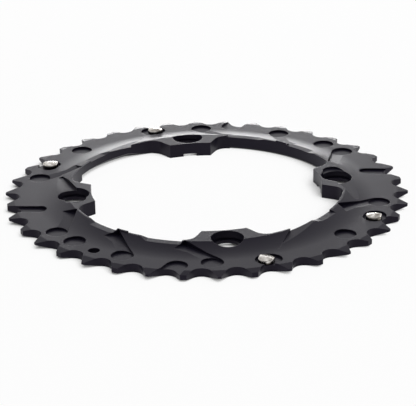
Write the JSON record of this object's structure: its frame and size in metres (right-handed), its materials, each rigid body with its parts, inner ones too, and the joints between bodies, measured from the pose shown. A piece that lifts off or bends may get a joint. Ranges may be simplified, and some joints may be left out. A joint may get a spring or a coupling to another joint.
{
  "type": "bicycle chainring",
  "caption": "Toothed bicycle chainring: dished face with shift ramps and pockets, counterbored bolt tabs around an open centre, pressed steel shift pins; drives a roller chain.",
  "frame": {"origin": "on the ring's axis, in the plane of its flat face", "axes": "+Z along the axis, from the flat face to the dished face with the shift ramps; +X through a bolt hole"},
  "size_m": [0.1558, 0.157, 0.0061],
  "materials": {
    "anodised_aluminium": "satin black anodised, machined ramps",
    "pin_steel": "bright turned"
  },
  "bodies": {
    "root": {"chainring": "anodised_aluminium", "shift_pin_1": "pin_steel", "shift_pin_2": "pin_steel", "shift_pin_3": "pin_steel", "shift_pin_4": "pin_steel"}
  },
  "joints": []
}
